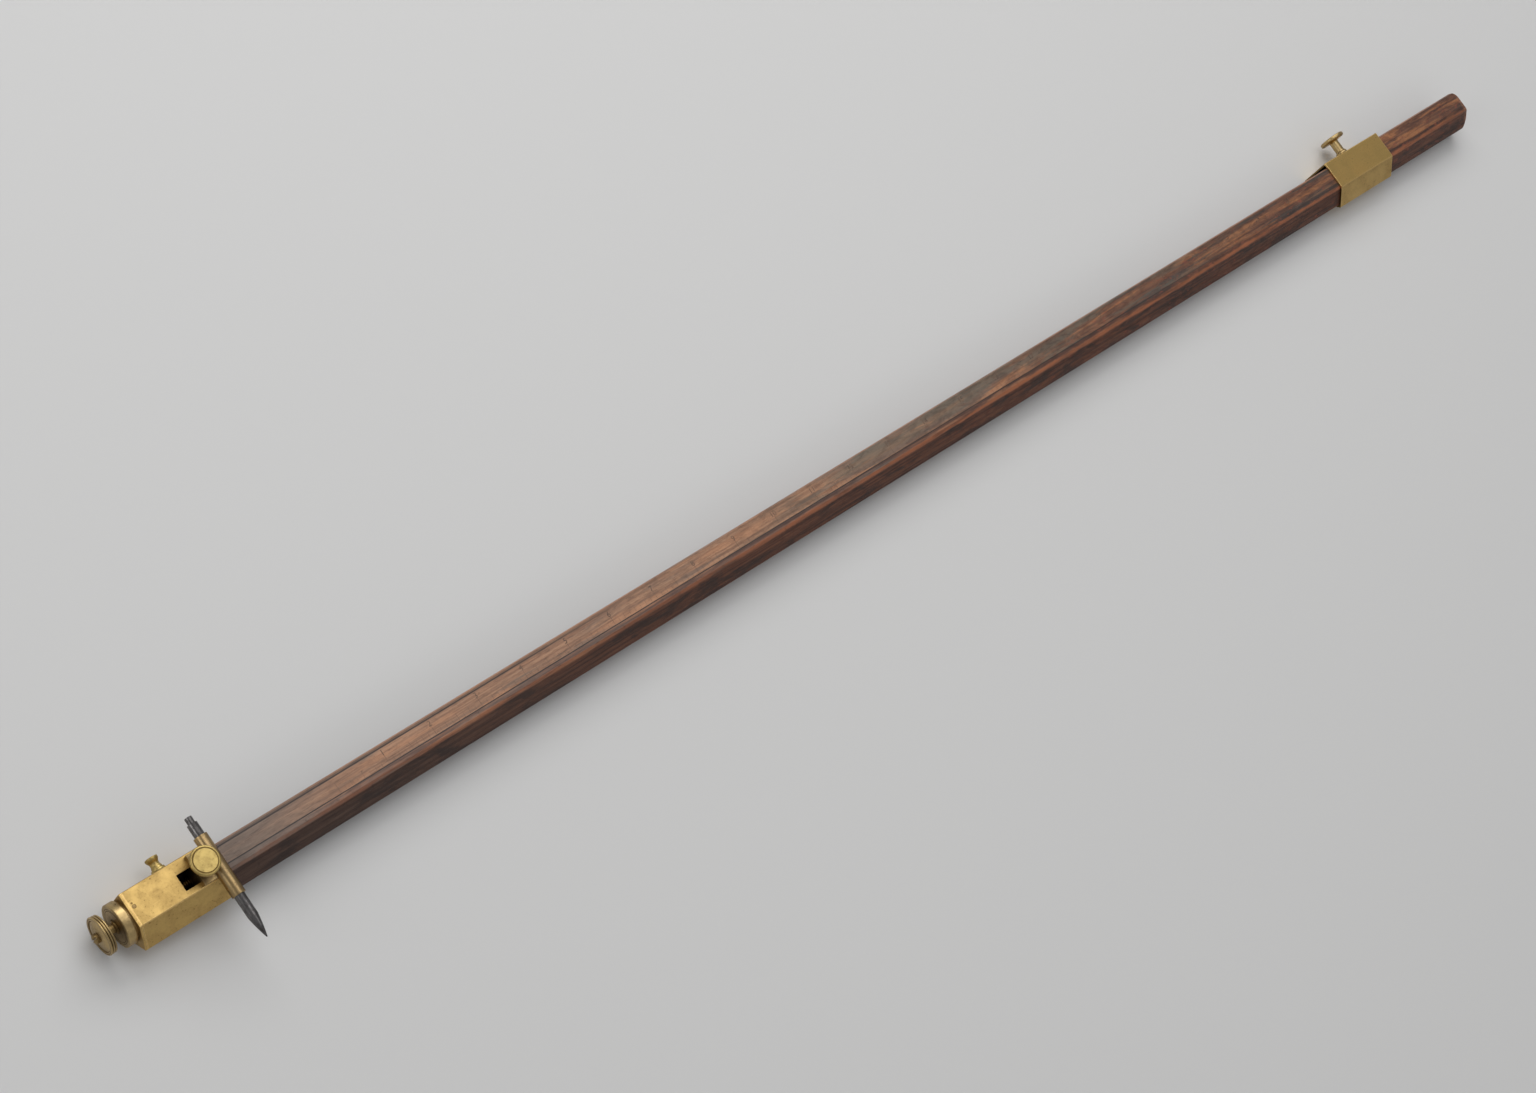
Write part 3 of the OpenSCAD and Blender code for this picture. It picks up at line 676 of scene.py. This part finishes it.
def adjusting_screw():
    """The long screw: a plain spindle with a shoulder, then a thread where the nut runs."""
    low, high = corners("adjusting_screw")
    shoulder = (high.y - low.y) / 2
    shank = shoulder - 0.8
    spigot = shank - 0.4
    ease = 0.25
    knob = corners("adjusting_knob")[1].x - low.x
    front = corners("screw_collar")[0].x - 1.05 - low.x
    back = front + 1.0
    thread_x = corners("thrust_collar")[1].x + 0.5
    profile = [(0, 0), (spigot, 0), (spigot, knob), (shank - ease, knob), (shank, knob + ease),
               (shank, front), (shoulder - ease, front), (shoulder, front + ease),
               (shoulder, back), (shank, back), (shank, thread_x - low.x), (0, thread_x - low.x)]
    spindle = facing(turned(profile), (low.x, 0, AXIS_Z), (1, 0, 0))

    pitch = 1.0
    root = shank - 0.55
    crest = shank - 0.03
    tooth = [(root, 0.0), (root, 0.14), (crest, 0.43), (crest, 0.57), (root, 0.86), (root, pitch)]
    start = thread_x - 0.3
    length = high.x - start
    turns = int(length - 0.6)
    thread = facing(turned(tooth, turns, 32, turns * pitch), (start, 0, AXIS_Z), (1, 0, 0))
    bmesh.ops.remove_doubles(thread, verts=thread.verts, dist=MERGE)
    bmesh.ops.holes_fill(thread, edges=[e for e in thread.edges if e.is_boundary], sides=0)

    inside = root + 0.01
    profile = [(0, 0), (inside, 0), (inside, length - 0.4), (root - 0.5, length), (0, length)]
    core = facing(turned(profile, steps=48), (start, 0, AXIS_Z), (1, 0, 0))
    node = ("adjusting_screw",)
    new_piece("screw_spindle", spindle, screw_brass, "adjusting_screw", node)
    new_piece("screw_thread", thread, screw_brass, "adjusting_screw", node, 50.0)
    new_piece("screw_core", core, screw_brass, "adjusting_screw", node)


# ---- The scale on the slip ----

SCALE_ZERO = 81.0
# each kind of tick: how many eighths of an inch apart, its length and its width
TICKS = ((8, 4.6, 0.14), (4, 3.4, 0.11), (2, 2.6, 0.11), (1, 1.8, 0.11))
TICK_FRONT = SLIP_LOW.y + 0.45
FIGURE_Y = BEAM_UPPER - 3.9


def scale_marks(finish):
    """Fine lines across the slip's front half: inches, halves, quarters and eighths."""
    shape = bmesh.new()
    last = int((SLIP_HIGH.x - 3.0 - SCALE_ZERO) / INCH * 8)
    for eighth in range(last + 1):
        length, width = next(tick[1:] for tick in TICKS if eighth % tick[0] == 0)
        place = (SCALE_ZERO + eighth * INCH / 8, TICK_FRONT + length / 2, BEAM_TOP)
        add_box(shape, place, (width, length, 0.03))
    new_piece("scale_marks", shape, finish, "beam")


def scale_numbers(finish):
    """Small figures in the slip's back half, one at each inch."""
    shape = bmesh.new()
    inches = int((SLIP_HIGH.x - 6.0 - SCALE_ZERO) / INCH)
    for inch in range(1, inches + 1):
        curve = bpy.data.curves.new("figure", "FONT")
        curve.body = str(inch)
        curve.size = 3.7
        curve.align_x = "CENTER"
        curve.align_y = "CENTER"
        curve.extrude = 0.012
        curve.resolution_u = 3
        holder = add_object("figure", curve)
        bpy.context.view_layer.update()
        mesh = bpy.data.meshes.new_from_object(holder)
        mesh.transform(Matrix.Translation((SCALE_ZERO + inch * INCH, FIGURE_Y, BEAM_TOP)))
        shape.from_mesh(mesh)
        bpy.data.objects.remove(holder)
        bpy.data.curves.remove(curve)
        bpy.data.meshes.remove(mesh)
    new_piece("scale_numbers", shape, finish, "beam")


# ---- Floor and light, in metres ----


def set_floor():
    shape = bmesh.new()
    bmesh.ops.create_grid(shape, x_segments=1, y_segments=1, size=6.0)
    floor = add_object("floor", mesh_of("floor", shape))
    floor.location = (0.4, 0, -0.0001)
    floor.data.materials.append(floor_finish())


def soft_box(name, place, aim, size, power):
    data = bpy.data.lights.new(name, "AREA")
    data.shape = "RECTANGLE"
    data.size, data.size_y = size
    data.energy = power
    lamp = add_object(name, data)
    lamp.location = place
    lamp.rotation_euler = (Vector(aim) - Vector(place)).to_track_quat("-Z", "Y").to_euler()


def set_light():
    world = bpy.data.worlds.new("room")
    world.use_nodes = True
    background = world.node_tree.nodes["Background"]
    background.inputs["Color"].default_value = (0.80, 0.81, 0.83, 1.0)
    background.inputs["Strength"].default_value = 0.38
    bpy.context.scene.world = world
    soft_box("top_light", (0.55, 0.22, 1.55), (0.40, 0.05, 0), (1.5, 0.85), 5.6)
    soft_box("back_light", (0.9, 1.3, 1.3), (0.4, 0, 0), (2.2, 0.9), 18.0)
    soft_box("left_light", (-1.3, 0.5, 0.9), (0.1, 0, 0), (0.8, 0.8), 4.0)
    soft_box("front_fill", (0.2, -1.5, 1.2), (0.4, 0, 0), (1.8, 0.7), 2.5)


# ---- The object ----

set_camera()
set_floor()
set_light()
bpy.context.scene.view_settings.view_transform = "Standard"

# the light and dark colours of the two woods' top near the head, and each one's place in the grain; the
# slip's colours there are lifted by a painted sheen
beam_wood = mahogany("beam_wood", (0.235, 0.112, 0.066), (0.090, 0.038, 0.023), (0.0, 0.0, 0.0))
slip_wood = mahogany("slip_wood", (0.460, 0.248, 0.138), (0.235, 0.112, 0.060), (7.0, 3.0, 1.0))

# bright, dull and brown colours of each brass
SHEET_GOLD = ((0.61, 0.41, 0.145), (0.42, 0.27, 0.095), (0.13, 0.066, 0.024))
WORN_GOLD = ((0.50, 0.36, 0.165), (0.27, 0.19, 0.095), (0.10, 0.06, 0.030))
YELLOW_GOLD = ((0.53, 0.39, 0.140), (0.35, 0.245, 0.088), (0.13, 0.08, 0.030))
TUBE_GOLD = ((0.43, 0.30, 0.140), (0.22, 0.150, 0.080), (0.09, 0.055, 0.028))
BLOCK_GOLD = ((0.40, 0.285, 0.130), (0.215, 0.145, 0.073), (0.09, 0.055, 0.028))
SCREW_GOLD = ((0.36, 0.25, 0.105), (0.18, 0.115, 0.050), (0.06, 0.036, 0.018))
BROWN_GOLD = ((0.34, 0.23, 0.095), (0.17, 0.105, 0.045), (0.06, 0.035, 0.018))

pin = middle("end_plate_pins")
disc = middle("slide_clamp_head")
stud = middle("head_clamp_head")
thumb = middle("sleeve_clamp_head")
tube = middle("point_tube")
stains = ((pin.x, pin.y, 1.0), (pin.x - 0.2, pin.y + 1.5, 0.5))
case_ends = [corner.x for case in ("head_case", "sleeve_case") for corner in corners(case)]
screw_axis = ("X", 0.0, AXIS_Z)
sheet_brass = old_brass("sheet_brass", SHEET_GOLD, pins=stains, ends=case_ends)
end_brass = old_brass("end_brass", WORN_GOLD, 0.3, screw_axis, grooves=((7.2, 0.28), (8.02, 0.22)))
tube_brass = old_brass("tube_brass", TUBE_GOLD, 0.3, ("Y", tube.x, tube.z), 0.20)
sleeve_brass = old_brass("sleeve_brass", WORN_GOLD, 0.3, ("Y", thumb.x, AXIS_Z), grooves=((5.75, 0.30),))
slide_brass = old_brass("slide_brass", YELLOW_GOLD, 0.35, ("Z", disc.x, disc.y), grooves=((5.25, 0.30),))
stud_brass = old_brass("stud_brass", YELLOW_GOLD, 0.35, ("Y", stud.x, AXIS_Z))
block_brass = old_brass("block_brass", BLOCK_GOLD, 0.3)
screw_brass = old_brass("screw_brass", SCREW_GOLD, 0.25, screw_axis)
brown_brass = old_brass("brown_brass", BROWN_GOLD, 0.2)

# light, dark and rust colours of each steel
POINT_GREYS = ((0.20, 0.19, 0.185), (0.080, 0.075, 0.073), (0.06, 0.040, 0.030))
STRIP_GREYS = ((0.040, 0.035, 0.033), (0.016, 0.014, 0.013), (0.045, 0.024, 0.015))
point_steel = dark_steel("point_steel", POINT_GREYS, 0.22)
strip_steel = dark_steel("strip_steel", STRIP_GREYS, 0.45)
ink = scale_ink("scale_ink")

finish_of = {
    "beam": beam_wood, "scale_slip": slip_wood, "head_case": sheet_brass, "end_plate": sheet_brass,
    "sleeve_case": sheet_brass, "slide_block": block_brass, "screw_collar": end_brass,
    "adjusting_knob": end_brass, "head_clamp_boss": stud_brass, "head_clamp_head": stud_brass,
    "slide_clamp_head": slide_brass, "slide_clamp_boss": slide_brass, "point_tube": tube_brass,
    "sleeve_clamp_boss": sleeve_brass, "sleeve_clamp_head": sleeve_brass, "steel_point": point_steel,
    "sleeve_clamp_pad": strip_steel}
for node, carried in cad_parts.items():
    carried.data.materials.clear()
    carried.data.materials.append(finish_of.get(node, brown_brass))

for node, body, width in (("head_case", "beam", 0.12), ("end_plate", "beam", 0.12),
                          ("sleeve_case", "sleeve", 0.12), ("slide_block", "slide", 0.2)):
    eased_copy(node, finish_of[node], body, width)
screw_collar()
adjusting_knob()
knob_screw()
slide_thumb_screw()
sleeve_thumb_screw()
head_clamp_stud()
point_and_tube()
adjusting_screw()
scale_marks(ink)
scale_numbers(ink)
